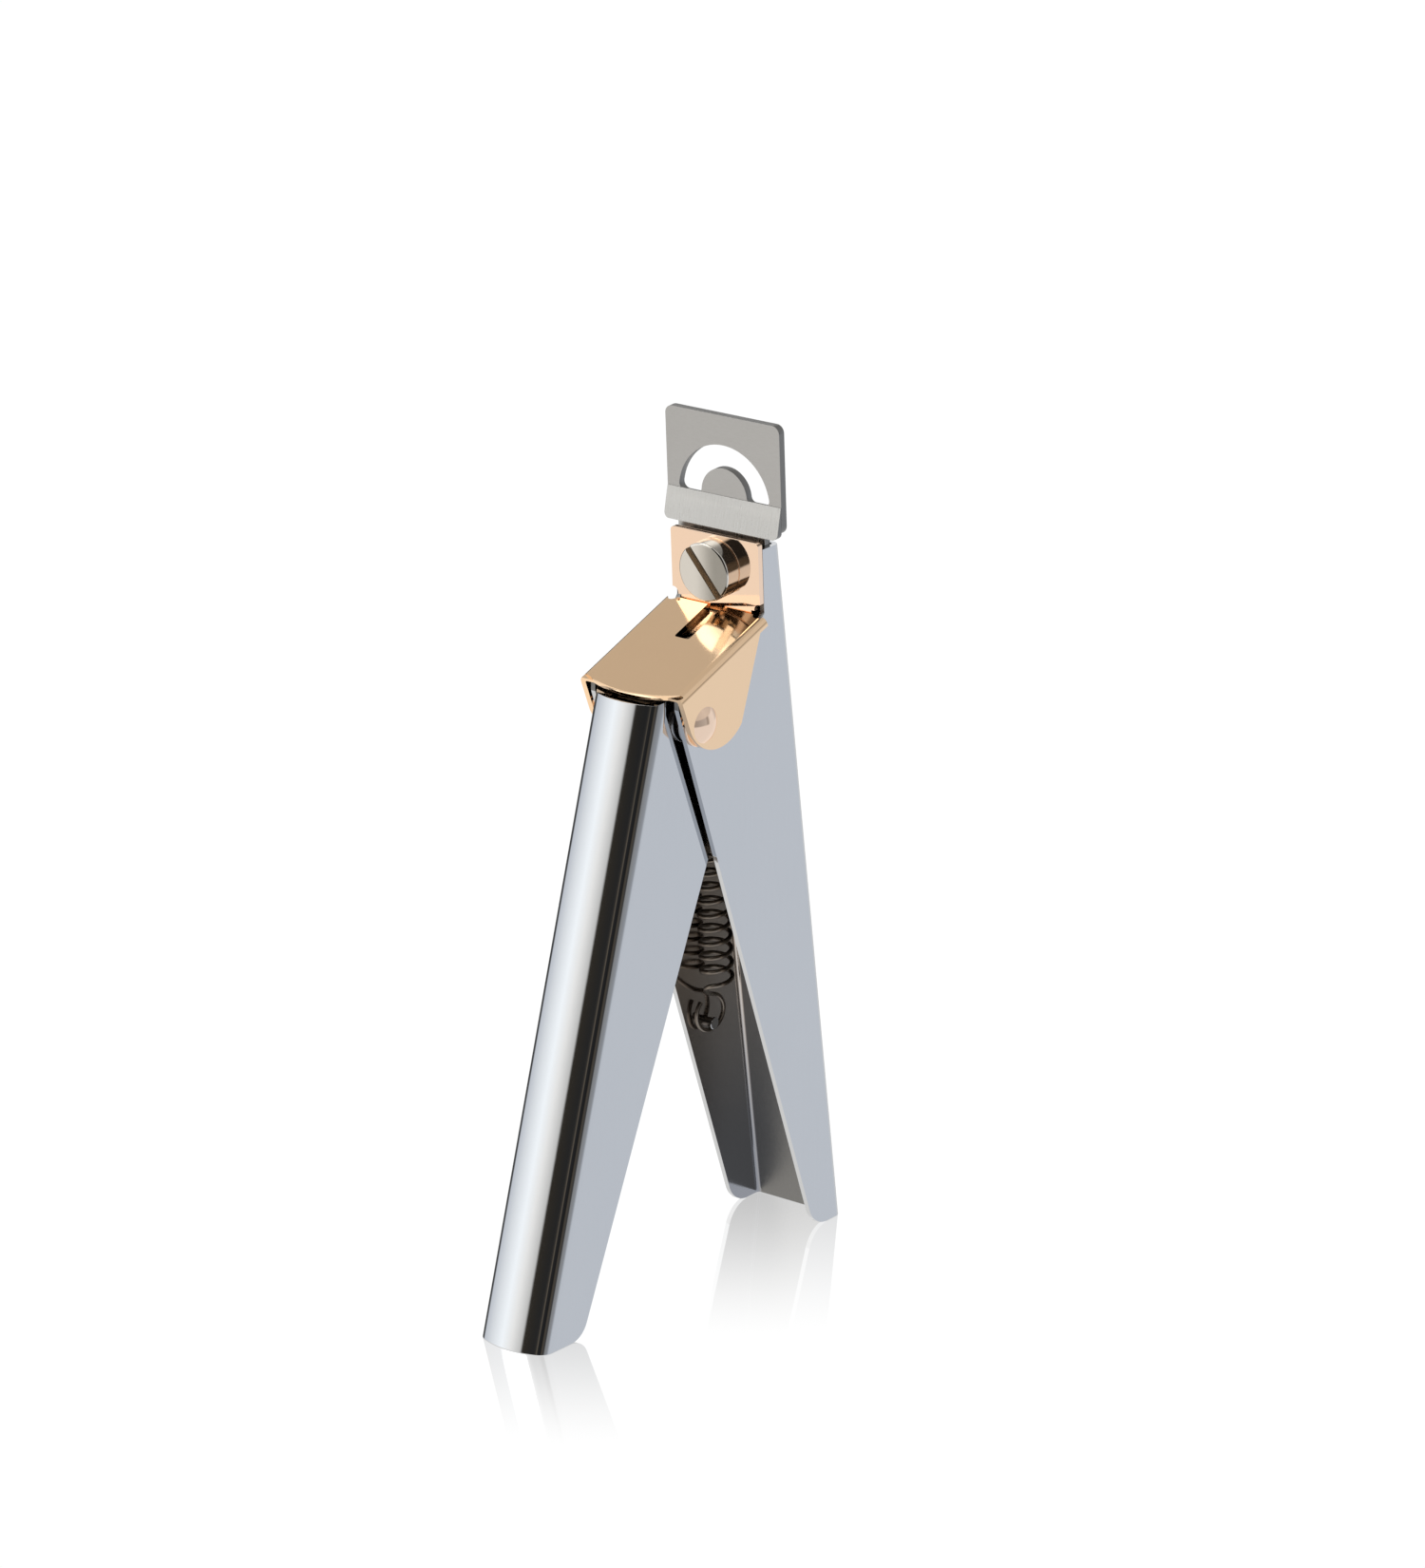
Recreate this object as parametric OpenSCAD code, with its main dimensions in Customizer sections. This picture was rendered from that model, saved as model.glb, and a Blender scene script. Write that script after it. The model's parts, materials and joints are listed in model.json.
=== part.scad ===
// One-hand cutter for acrylic nail tips: two sprung channel handles, a gilt
// guide head, a plate with a half-moon opening and a bevelled blade that is
// lifted across the opening when the handles are squeezed.
// X is the width, -Y the front, +Z up. The origin is on the floor, straight
// below the pivot axis. The part stands on the ends of its open handles.
// Endings of names: _w width, _h height, _t thickness, _r radius.

/* [Stance] */
// Height of the pivot axis above the floor
pivot_h = 93.2; // [92.6:0.1:93.6]
// Lean of the rear handle's spine from the vertical (top to the front)
rear_lean = 8.25; // [8.1:0.05:8.5]
// Lean of the front handle's spine from the vertical (top to the rear)
front_lean = 16.65; // [16.4:0.05:16.9]

/* [Rear handle] */
// Outside width of the rear channel
rear_w = 17.0; // [16.9:0.1:17.3]
// Sheet thickness of both handles
sheet_t = 0.8; // [0.7:0.05:0.85]
// Height of the top of the rear handle
rear_top = 117.0; // [116:0.5:117.5]
// Radius of the rear channel's bends, outside
rear_bend_r = 1.4; // [1.2:0.1:1.8]

/* [Front handle] */
// Outside width of the front channel at its spine
front_w = 13.2; // [13.0:0.1:13.2]
// Outward splay of each flange of the front channel
splay = 1.6; // [0.8:0.1:1.6]
// Radius of the front channel's bends, outside
front_bend_r = 2.4; // [2.2:0.1:3.0]
// Radius of the crown across the front channel's spine
crown_r = 14; // [11:1:30]
// Height of the top rim of the front handle
front_top = 97.2; // [96.6:0.1:97.3]

/* [Drive] */
// Distance from the pivot axis to the drive pin
arm = 19.0; // [18.6:0.1:19.1]
// Squeeze angle from fully open to fully closed
squeeze = 26; // [24:1:26]
// Radius of the pivot rivet
pivot_r = 2.0; // [1.8:0.1:2.2]
// Radius of the drive pin
pin_r = 1.5; // [1.3:0.1:1.6]

/* [Head] */
// Forward lean of the cutting plates
plate_lean = 2.94; // [2.7:0.1:3.1]
// Slope of the shelf down to the front
shelf_slope = 20; // [19.8:0.1:20.2]
// Width of the shelf over its side cheeks
shelf_w = 19.8; // [19.6:0.1:20.2]
// Width of the blade carrier
carrier_w = 17.0; // [16.8:0.1:17.2]
// Height of the blade carrier above the shelf
carrier_h = 11.3; // [11.2:0.1:11.5]

/* [Cutting plates] */
// Width of the half-moon plate and of the blade
plate_w = 22.0; // [21.6:0.2:22.6]
// Top of the half-moon plate above the shelf
plate_top = 29.8; // [28.8:0.2:31]
// Radius of the half-moon opening
moon_r = 8.8; // [8.6:0.1:9.0]
// Radius of the tongue inside the opening
tongue_r = 4.4; // [4.2:0.1:4.6]
// Height of the cutting edge above the shelf, handles open
edge_h = 16.8; // [16.7:0.1:16.9]

/* [Clamp screw] */
// Radius of the screw head
screw_r = 4.75; // [4.4:0.05:4.9]
// Height of the screw head
screw_h = 3.05; // [2.8:0.05:3.4]
// Angle of the driver slot
slot_angle = -51; // [-90:1:90]

/* [Return spring] */
// Outside radius of the coil
coil_r = 2.85; // [2.5:0.05:2.85]
// Wire diameter
wire_d = 0.75; // [0.6:0.05:0.8]
// Coil turns
turns = 17; // [15:1:19]

/* [Hidden] */
$fn = 64;

gilt_t = 0.9;          // gilt sheet
carrier_t = 1.0;       // blade carrier sheet
blade_t = 1.8;         // blade blank
moon_t = 1.3;          // half-moon plate
slide_gap = 0.05;      // between blade and half-moon plate
close_fit = 0.03;      // radial clearances
free_fit = 0.05;
reach = 20;            // cutting solids run this far to each side, past every part

rear_out = rear_w/2;             // outer face of a rear flange
rear_in = rear_out - sheet_t;    // inner face of a rear flange
cheek_out = shelf_w/2;           // outer face of a cheek
rear_foot_y = 37.7;    // rear spine's outer face at floor level
front_foot_y = -37.5;  // front spine's outer face at floor level

// ---- frames and axes --------------------------------------------------------
// The head frame leans with the cutting plates: y to the rear, z up from the shelf,
// origin at the foot of the carrier's front face.
function polar(centre, radius, angle) = centre + radius*[cos(angle), sin(angle)];
function arc(centre, radius, start, end, steps = 12) =
    [for (i = [0:steps]) polar(centre, radius, start + (end - start)*i/steps)];
function turned(v, angle) = [v[0]*cos(angle) - v[1]*sin(angle), v[0]*sin(angle) + v[1]*cos(angle)];

// Points in the y,z plane
pivot = [0, pivot_h];
head_foot = [15.52, pivot_h + 13.6];
post = [22.5, 34.1];   // lower anchor of the spring

// Drive pin with the handles open: half the squeeze angle below the mid line
head_pin = polar(turned(pivot - head_foot, -plate_lean), arm, -squeeze/2);
pin = head_foot + turned(head_pin, plate_lean);
pin_dir = plate_lean - squeeze/2;      // direction from pivot to pin
drift = arm*(1 - cos(squeeze/2));      // rearward travel of the pin in its slot

module head() { translate([0, head_foot[0], head_foot[1]]) rotate([plate_lean, 0, 0]) children(); }
module shelf_frame() {
    translate([0, head_foot[0], head_foot[1]]) rotate([shelf_slope, 0, 0]) children();
}
// frame of a handle: y = 0 is the spine's outer face, z runs up the spine
module handle_frame(foot_y, lean) { translate([0, foot_y, 0]) rotate([lean, 0, 0]) children(); }

// ---- shared shapes ------------------------------------------------------------
// a y,z outline made into a solid across all parts
module side_prism() {
    rotate([90, 0, 90]) translate([0, 0, -reach]) linear_extrude(2*reach) children();
}
// an upright plate: x,z outline with its front face at y
module plate(y, thickness) {
    translate([0, y + thickness, 0]) rotate([90, 0, 0]) linear_extrude(thickness) children();
}
// a cylinder along x; its centre is a y,z point
module x_cylinder(centre, radius, x0 = -reach, x1 = reach) {
    translate([x0, centre[0], centre[1]]) rotate([0, 90, 0]) cylinder(h = x1 - x0, r = radius);
}
// a domed head at x facing the given side: cap of a ball whose centre is sunk
module x_dome(x, centre, side, sink, ball_r, limit) {
    translate([x, centre[0], centre[1]]) rotate([0, side*90, 0]) rotate_extrude() intersection() {
        translate([0, -sink]) circle(ball_r);
        square(limit);
    }
}
// shapes centred on x = 0
module mid_square(width, bottom, height) { translate([-width/2, bottom]) square([width, height]); }
module mid_cube(size, y, z) { translate([-size[0]/2, y, z]) cube(size); }
module mid_round_rect(width, bottom, top, radius) {
    mid_square(width - 2*radius, bottom, top - bottom);
    mid_square(width, bottom + radius, top - bottom - 2*radius);
    for (x = [radius - width/2, width/2 - radius], z = [bottom + radius, top - radius])
        translate([x, z]) circle(radius);
}
// folded sheet, a channel open to -y with its back at y = 0
function u_outline(half_w, bend_r, length, inset) =
    let (x = half_w - inset, r = bend_r - inset)
    concat([[-x, -length]], arc([-x + r, -inset - r], r, 180, 90),
           arc([x - r, -inset - r], r, 90, 0), [[x, -length]]);
module u_sheet(half_w, bend_r, length, thickness) {
    difference() {
        polygon(u_outline(half_w, bend_r, length, 0));
        polygon(u_outline(half_w, bend_r, length + 1, thickness));
    }
}
module pivot_hole(fit) { x_cylinder(pivot, pivot_r + fit); }

// ---- rivets of the half-moon plate ----------------------------------------------
rivet_r = 0.6;
rivet_spots = [for (x = [-5.3, 5.3], z = [1.2, 7.2]) [x, z]];   // x,z in the head frame
module rivet_holes() {
    head() for (spot = rivet_spots)
        translate([spot[0], 3, spot[1]]) rotate([-90, 0, 0]) cylinder(h = 12, r = rivet_r + close_fit);
}

// ---- rear handle ----------------------------------------------------------------
post_r = 0.8;
rear_foot_r = 5;       // rounded front corner of the foot
module rear_side() {
    polygon(concat([[45, 0]], arc([33.8, rear_foot_r], rear_foot_r, -90, -159.92),
            [[-4.95, 96.44], [-4.95, pivot_h + 5.13], [16.0, pivot_h + 12.75],
             [16.62, pivot_h + 13.55], [16.08, rear_top], [45, rear_top]]));
}
module rear_handle() {
    color([0.73, 0.75, 0.78]) difference() {
        intersection() {
            handle_frame(rear_foot_y, rear_lean) translate([0, 0, -12])
                linear_extrude(140) u_sheet(rear_out, rear_bend_r, 50, sheet_t);
            side_prism() rear_side();
        }
        pivot_hole(close_fit);
        x_cylinder(post, post_r + close_fit, -12, -4);
        // window behind the half-moon plate's stem
        head() mid_cube([6.8, 8, 20], y = 3, z = 1.6);
        rivet_holes();
    }
}

// ---- front handle ---------------------------------------------------------------
flange_length = 36;
front_foot_r = 4;      // rounded rear corner of the foot
pin_eye_r = 3.6;       // outline around the drive pin
pivot_eye_r = 6;       // outline around the pivot
eye_swing = 82.45;     // from pin_dir to where the outline's straight sides meet the eyes
// channel open to +y with a crowned spine and splayed flanges
function crowned_outline(length, inset) =
    let (r = front_bend_r - inset, crown = crown_r - inset,
         x = front_w/2 - inset - r,
         half_angle = asin(x/(crown - r)),
         y = inset + crown - (crown - r)*cos(half_angle),
         end_x = x + r*cos(splay) + length*sin(splay),
         end_y = y - r*sin(splay) + length*cos(splay))
    concat([[-end_x, end_y]], arc([-x, y], r, 180 + splay, 270 - half_angle, 14),
           arc([0, inset + crown], crown, -90 - half_angle, -90 + half_angle, 10),
           arc([x, y], r, -90 + half_angle, -splay, 14), [[end_x, end_y]]);
module front_section() {
    difference() {
        polygon(crowned_outline(flange_length, 0));
        polygon(crowned_outline(flange_length + 5, sheet_t));
    }
}
module front_side() {
    polygon(concat([[-45, 0]], arc([-29.7, front_foot_r], front_foot_r, -90, -24.26), [[10.1, 82.6]],
                   arc(pin, pin_eye_r, pin_dir - eye_swing, pin_dir + eye_swing, 16),
                   arc(pivot, pivot_eye_r, pin_dir + eye_swing, 112),
                   [[-7.0, front_top], [-45, front_top]]));
}
module front_handle() {
    color([0.78, 0.79, 0.81]) difference() {
        intersection() {
            handle_frame(front_foot_y, -front_lean) translate([0, 0, -14])
                linear_extrude(140) front_section();
            side_prism() front_side();
        }
        pivot_hole(free_fit);
        x_cylinder(pin, pin_r + 0.02);
    }
}

// ---- gilt guide housing: shelf, side cheeks and rear lip --------------------------
shelf_depth = 24.2;    // at the middle; the front edge bows back to the sides
bow_r = 22.5;
shelf_back = 0.36;     // gap behind the shelf's rear edge
fold_r = 1.3;          // outside radius of the folds between shelf and cheeks
lip_gap = 0.25;        // from the lip to the rear flanges and to the carrier
shelf_slot_w = 2.8;
notch_x = 8.35;        // relief notches at the bends
notch_r = 0.95;
module shelf_outline() {
    intersection() {
        mid_square(shelf_w, -26, 26 - shelf_back);
        translate([0, bow_r - shelf_depth]) circle(bow_r);
    }
}
module cheek_side() {
    polygon(concat([[-5.95, pivot_h + 5.31]], arc([3.3, pivot_h + 3.2], 7.8, 208, 318, 24),
                   [[13.9, pivot_h + 11.7], [13.9, pivot_h + 12.53]]));
}
module guide_housing() {
    color([0.86, 0.68, 0.45]) difference() {
        union() {
            // one folded sheet, trimmed to the shelf's outline and to the cheeks' outline
            intersection() {
                shelf_frame() translate([0, -shelf_back, 0]) rotate([90, 0, 0])
                    linear_extrude(27) u_sheet(cheek_out, fold_r, 30, gilt_t);
                union() {
                    shelf_frame() translate([0, 0, -1.6]) linear_extrude(2.5) shelf_outline();
                    side_prism() cheek_side();
                }
            }
            // lip behind the shelf, bent down between the rear flanges
            head() mid_cube([2*(rear_in - lip_gap), gilt_t, 3.3], y = -lip_gap - gilt_t, z = -3.9);
        }
        // open slot running back from the middle of the shelf, through the lip
        shelf_frame() mid_cube([shelf_slot_w, 11, 6], y = -9.4, z = -3);
        head() mid_cube([shelf_slot_w, 4, 8], y = -2, z = -6);
        for (side = [-1, 1])
            shelf_frame() translate([side*notch_x, -0.2, -3]) cylinder(h = 6, r = notch_r);
        pivot_hole(close_fit);
    }
}

// ---- blade carrier ----------------------------------------------------------------
screw_z = 6.04;        // clamp screw axis above the shelf
shank_r = 2.0;
lug_reach = 3.2;       // from the middle to a lug's outer face, and from pin axis to lug foot
lug_bottom = head_pin[1] - lug_reach;
pin_slot_r = pin_r + 0.1;
pin_slot_start = head_pin[0] - 0.05;
pin_slot_travel = drift + 0.1;
module carrier_outline() {
    difference() {
        union() {
            mid_round_rect(carrier_w, 0.35, carrier_h, 0.6);
            mid_square(13.6, -9, 12);
            mid_square(2*lug_reach, lug_bottom, 12);
        }
        for (side = [-1, 1]) translate([side*notch_x, 0.5]) circle(notch_r);
        translate([0, screw_z]) circle(shank_r + 0.08);
    }
}
module blade_carrier() {
    color([0.90, 0.72, 0.50]) head() difference() {
        union() {
            plate(0, carrier_t) carrier_outline();
            // two lugs bent back around the drive pin
            for (x = [-lug_reach, lug_reach - carrier_t]) translate([x, 0, lug_bottom])
                cube([carrier_t, head_pin[0] + drift + 3.0, 6.6]);
        }
        // slot for the pin's drift
        for (y = [pin_slot_start, pin_slot_start + pin_slot_travel])
            x_cylinder([y, head_pin[1]], pin_slot_r, -10, 10);
        mid_cube([20, pin_slot_travel, 2*pin_slot_r], pin_slot_start, head_pin[1] - pin_slot_r);
    }
}

// ---- bevelled blade -----------------------------------------------------------------
blade_y = carrier_t;                       // front of the blade blank
bevel_end_y = blade_y + blade_t - 0.04;    // the edge keeps a narrow land behind it
module bevel_blade() {
    color([0.78, 0.77, 0.76]) head() difference() {
        plate(blade_y, blade_t) difference() {
            union() {
                mid_round_rect(plate_w, 11.8, 19, 1.0);
                mid_square(14, 0.8, 12);
                mid_square(16.8, 10.6, 2);
            }
            mid_square(2*reach, edge_h, 10);
            translate([0, screw_z]) circle(shank_r + 0.02);
        }
        // relief across the neck, under the wide part
        mid_cube([18, 1.4, 1.4], y = blade_y - 0.5, z = 10.4);
        // ground bevel up to the edge
        side_prism() polygon([[blade_y - 1, 5.7], [blade_y - 0.25, 8.66], [bevel_end_y, edge_h],
                              [bevel_end_y, edge_h + 5], [blade_y - 1, edge_h + 5]]);
    }
}

// ---- half-moon plate -----------------------------------------------------------------
moon_y = blade_y + blade_t + slide_gap;    // front of the half-moon plate
stem_gap = 0.06;       // from the stem to each rear flange
moon_z = 16.2;         // centre of the half-moon opening
tongue_z = 16.85;      // centre of the tongue's round end
opening_z = 16.4;      // lower side of the opening
corner_r = 1.1;        // outer corners of the opening
root_r = 0.9;          // at the foot of the tongue
module moon_opening() {
    corner_x = sqrt(pow(moon_r - corner_r, 2) - pow(opening_z + corner_r - moon_z, 2));
    root_x = sqrt(pow(tongue_r + root_r, 2) - pow(opening_z + root_r - tongue_z, 2));
    difference() {
        intersection() {
            translate([0, moon_z]) circle(moon_r);
            mid_square(2*reach, opening_z + 1, 20);
        }
        translate([0, tongue_z]) circle(tongue_r);
    }
    for (side = [-1, 1]) {
        translate([side*corner_x, opening_z + corner_r]) circle(corner_r);
        translate([side*root_x, opening_z + root_r]) circle(root_r);
        translate([side*(corner_x + root_x)/2, 0]) mid_square(corner_x - root_x, opening_z, 1.4);
    }
}
module half_moon_plate() {
    color([0.66, 0.65, 0.64]) head() plate(moon_y, moon_t) difference() {
        union() {
            mid_round_rect(plate_w, 12.3, plate_top, 1.3);
            mid_square(2*(rear_in - stem_gap), -2.4, 16);
        }
        moon_opening();
        for (spot = rivet_spots) translate(spot) circle(rivet_r + close_fit);
    }
}

// ---- shims and rivets -----------------------------------------------------------------
// wedge-shaped shims that fill the gap between the stem and the spine
module plate_shims() {
    color([0.6, 0.6, 0.62]) difference() {
        intersection() {
            head() for (x = [-5.2, 5.2])
                translate([x, 0, 0]) mid_cube([2.6, 4, 11.4], y = moon_y + moon_t, z = -1.6);
            handle_frame(rear_foot_y, rear_lean) mid_cube([20, 10, 140], y = -sheet_t - 10, z = 0);
        }
        rivet_holes();
    }
}
// depth of the rear spine's outer face in the head frame, at height z
function spine_back(z) =
    ((rear_foot_y - head_foot[0] + z*sin(plate_lean))*cos(rear_lean)
     - (head_foot[1] + z*cos(plate_lean))*sin(rear_lean))/cos(rear_lean - plate_lean);
// four flush rivets through the stem, the shims and the spine
module plate_rivets() {
    color([0.7, 0.7, 0.72]) head() for (spot = rivet_spots)
        translate([spot[0], moon_y + 0.1, spot[1]]) rotate([-90, 0, 0])
            cylinder(h = spine_back(spot[1]) - moon_y - 0.3, r = rivet_r);
}

// ---- clamp screw ------------------------------------------------------------------------
foot_chamfer = 0.15;
rim_chamfer = 0.35;
driver_slot = 1.1;     // width and depth of the slot
module clamp_screw() {
    shank_length = carrier_t + blade_t;
    color([0.85, 0.83, 0.80]) head() translate([0, 0, screw_z]) rotate([90, 0, 0]) difference() {
        union() {
            rotate_extrude() polygon([[0, 0], [screw_r - foot_chamfer, 0], [screw_r, foot_chamfer],
                [screw_r, screw_h - rim_chamfer], [screw_r - rim_chamfer, screw_h], [0, screw_h]]);
            translate([0, 0, 0.1 - shank_length]) cylinder(h = shank_length, r = shank_r);
        }
        rotate([0, 0, slot_angle])
            mid_cube([12, driver_slot, 3], y = -driver_slot/2, z = screw_h - driver_slot);
    }
}

// ---- pivot and drive pin ------------------------------------------------------------------
washer_gap = 0.02;     // on each face of a washer
module pivot_rivet() {
    color([0.82, 0.66, 0.45]) {
        x_cylinder(pivot, pivot_r, -cheek_out - 0.1, cheek_out + 0.1);
        for (side = [-1, 1])
            x_dome(side*cheek_out, pivot, side, sink = 3.6, ball_r = 4.6, limit = [3.2, 2]);
    }
}
module ring(radius, fit, x0, x1) {
    difference() {
        x_cylinder(pivot, radius, x0, x1);
        x_cylinder(pivot, pivot_r + fit, x0 - 1, x1 + 1);
    }
}
// a washer between x0 and x1, and its twin on the other side
module washer_pair(radius, x0, x1) {
    ring(radius, close_fit, x0, x1);
    ring(radius, close_fit, -x1, -x0);
}
// between the cheeks and the rear flanges
module outer_washers() {
    color([0.82, 0.66, 0.45])
        washer_pair(3.6, rear_out + washer_gap, cheek_out - gilt_t - washer_gap);
}
// between the rear flanges and the front handle
module inner_washers() {
    color([0.75, 0.76, 0.78]) washer_pair(3.4, rear_in - washer_gap - 0.5, rear_in - washer_gap);
}
module pivot_spacer() {
    color([0.70, 0.71, 0.73]) ring(3.2, free_fit, -5.5, 5.5);
}
module drive_pin() {
    color([0.72, 0.72, 0.74]) x_cylinder(pin, pin_r, -7.4, 7.4);
}

// ---- return spring ------------------------------------------------------------------------
// Spring frame: origin on the post's axis, z along the coil towards the drive pin
spring_x = -4.75;
spring_v = pin - post;
spring_lean = atan2(spring_v[0], spring_v[1]);
spring_length = norm(spring_v);
wind_r = coil_r - wire_d/2;    // centre line radius of the coil
turn_steps = 14;
sides = 6;                     // of the wire's section
bend_r = 1.0;                  // bend from the coil into the upper end wire
coil_start = 7.75;             // first coil above the post
coil_end = spring_length - 7.9;
entry_angle = asin(bend_r/wind_r);
coil_steps = turn_steps*turns;
hook_x = -1.75;                // the lower loop stands nearer to the flange
hook_z = 1.77;
hook_r = 3.0;                  // it is a little larger than the coil
hook_turn = 8;                 // and turned by this much from the flange
loop_z = spring_length - 0.45; // centre of the upper end loop
loop_steps = 14;
hook_guided = 19;              // first points whose outward side is set by the lower loop

// cubic curve from p0 to p3, with end directions set by p1 and p2
function curve(p0, p1, p2, p3, u) =
    pow(1 - u, 3)*p0 + 3*pow(1 - u, 2)*u*p1 + 3*(1 - u)*u*u*p2 + u*u*u*p3;
function hook(angle) = [hook_x + sin(hook_turn)*hook_r*cos(angle),
                        cos(hook_turn)*hook_r*cos(angle), hook_z + hook_r*sin(angle)];
function coil(angle, z) = [wind_r*cos(angle), wind_r*sin(angle), z];
hook_exit = hook(70);
coil_entry = coil(-90 + entry_angle, coil_start);

// the wire's centre line: lower loop, lead-in, coil, bend, straight end wire, upper loop
path = concat(
    [for (i = [0:15]) hook(-230 + 300*i/15)],
    [for (i = [1:6]) curve(hook_exit, hook_exit + [0, -2.2, 0.8],
                           coil_entry - [2.0, 0.88, 0.33], coil_entry, i/7)],
    [for (i = [0:coil_steps]) coil(-90 + entry_angle + (360*turns - 2*entry_angle)*i/coil_steps,
                                   coil_start + (coil_end - coil_start)*i/coil_steps)],
    [for (i = [1:4]) let (x = -bend_r + bend_r*sin(22.5*i))
        [x, -sqrt(wind_r*wind_r - x*x), coil_end + bend_r*(1 - cos(22.5*i))]],
    [for (i = [1:3]) [0, -wind_r, coil_end + bend_r + (loop_z - coil_end - bend_r)*i/3]],
    [for (i = [1:loop_steps]) let (angle = 180 - 300*i/loop_steps)
        [0, wind_r*cos(angle), loop_z + wind_r*sin(angle)]]);
last = len(path) - 1;

function unit(v) = v/norm(v);
function along(i) = unit(path[min(i + 1, last)] - path[max(i - 1, 0)]);
// away from the axis of the coil or from the centre of a loop
function outward(i) = i < hook_guided ? [0, path[i][1], path[i][2] - hook_z]
                    : i > last - loop_steps ? [0, path[i][1], path[i][2] - loop_z]
                    : [path[i][0], path[i][1], 0];
function wire_ring(i) =
    let (dir = along(i), out = outward(i), normal = unit(out - (out*dir)*dir),
         across = cross(dir, normal))
    [for (k = [0:sides - 1])
        path[i] + wire_d/2*(cos(360*k/sides)*normal + sin(360*k/sides)*across)];
// point k, counted around, of ring i
function corner(i, k) = i*sides + k%sides;
module return_spring() {
    color([0.25, 0.22, 0.20])
        translate([spring_x, post[0], post[1]]) rotate([-spring_lean, 0, 0])
        polyhedron(points = [for (i = [0:last]) each wire_ring(i)],
            faces = concat(
                [[for (k = [0:sides - 1]) k]],
                [[for (k = [sides - 1:-1:0]) corner(last, k)]],
                [for (i = [0:last - 1], k = [0:sides - 1])
                    [corner(i, k), corner(i + 1, k), corner(i + 1, k + 1)]],
                [for (i = [0:last - 1], k = [0:sides - 1])
                    [corner(i, k), corner(i + 1, k + 1), corner(i, k + 1)]]),
            convexity = 10);
}
module spring_post() {
    post_end = -5.6;
    color([0.35, 0.33, 0.32]) {
        x_cylinder(post, post_r, -rear_out - 0.1, post_end);
        x_cylinder(post, 1.0, post_end - 0.4, post_end);
        x_dome(-rear_out, post, -1, sink = 1.6, ball_r = 2.2, limit = [2, 2]);
    }
}

rear_handle();
front_handle();
guide_housing();
blade_carrier();
bevel_blade();
half_moon_plate();
plate_shims();
plate_rivets();
clamp_screw();
pivot_rivet();
outer_washers();
inner_washers();
pivot_spacer();
drive_pin();
return_spring();
spring_post();
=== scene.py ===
"""A hand-squeezed cutter standing on its two handle ends.

The rear channel carries a gilt housing and a plate with a half-moon opening. The front lever
turns on the pivot rivet, and its drive pin moves the blade and its carrier along the plate.
x runs across, -y is the front and z is up, with the floor at z = 0. Shapes are drawn in
millimetres and handed over in metres.
"""
import json
import math
from math import radians as rad

import bmesh
import bpy
from mathutils import Matrix, Vector


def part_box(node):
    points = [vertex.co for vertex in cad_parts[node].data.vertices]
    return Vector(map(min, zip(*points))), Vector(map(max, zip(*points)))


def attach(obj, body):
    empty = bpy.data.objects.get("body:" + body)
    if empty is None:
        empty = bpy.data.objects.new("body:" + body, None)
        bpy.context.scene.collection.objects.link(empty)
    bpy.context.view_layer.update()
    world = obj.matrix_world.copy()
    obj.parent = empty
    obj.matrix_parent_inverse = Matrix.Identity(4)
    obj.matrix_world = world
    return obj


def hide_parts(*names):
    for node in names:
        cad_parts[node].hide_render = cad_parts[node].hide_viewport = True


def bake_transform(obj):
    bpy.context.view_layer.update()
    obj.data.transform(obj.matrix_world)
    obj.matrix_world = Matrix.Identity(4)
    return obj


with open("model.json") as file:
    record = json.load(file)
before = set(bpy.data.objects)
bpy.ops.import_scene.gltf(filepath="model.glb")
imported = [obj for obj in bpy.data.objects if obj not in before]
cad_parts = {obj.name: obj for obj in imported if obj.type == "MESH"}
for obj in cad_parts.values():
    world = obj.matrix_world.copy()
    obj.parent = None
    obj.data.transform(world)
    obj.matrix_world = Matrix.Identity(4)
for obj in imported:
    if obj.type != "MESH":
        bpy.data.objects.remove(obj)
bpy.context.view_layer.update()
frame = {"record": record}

JOINTS = {j["name"]: j for j in frame["record"]["behaviour"]["joints"]}
scene = bpy.context.scene


# ---------------------------------------------------------------- places taken from the frame
def box(node):
    """Lowest and highest corner of a CAD node in millimetres."""
    lo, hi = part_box(node)
    return lo * 1000.0, hi * 1000.0


def centre_yz(node):
    lo, hi = box(node)
    return (lo.y + hi.y) / 2, (lo.z + hi.z) / 2


PIVOT = tuple(1000 * v for v in JOINTS["squeeze_hinge"]["pos_m"][1:])     # y, z
DRIVE_PIN = centre_yz("drive_pin")
POST = centre_yz("spring_post")
REAR_TOP = box("rear_handle")[1]                # highest corner
REAR_HALF = REAR_TOP.x                          # half widths across x
HOUSING_HALF = box("guide_housing")[1].x
PLATE_HALF = box("half_moon_plate")[1].x
CARRIER_HALF = box("blade_carrier")[1].x
SCREW_R = box("clamp_screw")[1].x
PIN_HALF = box("drive_pin")[1].x
REAR_Y = REAR_TOP.y                             # outer faces of the channels at the floor
FRONT_Y = box("front_handle")[0].y

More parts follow.
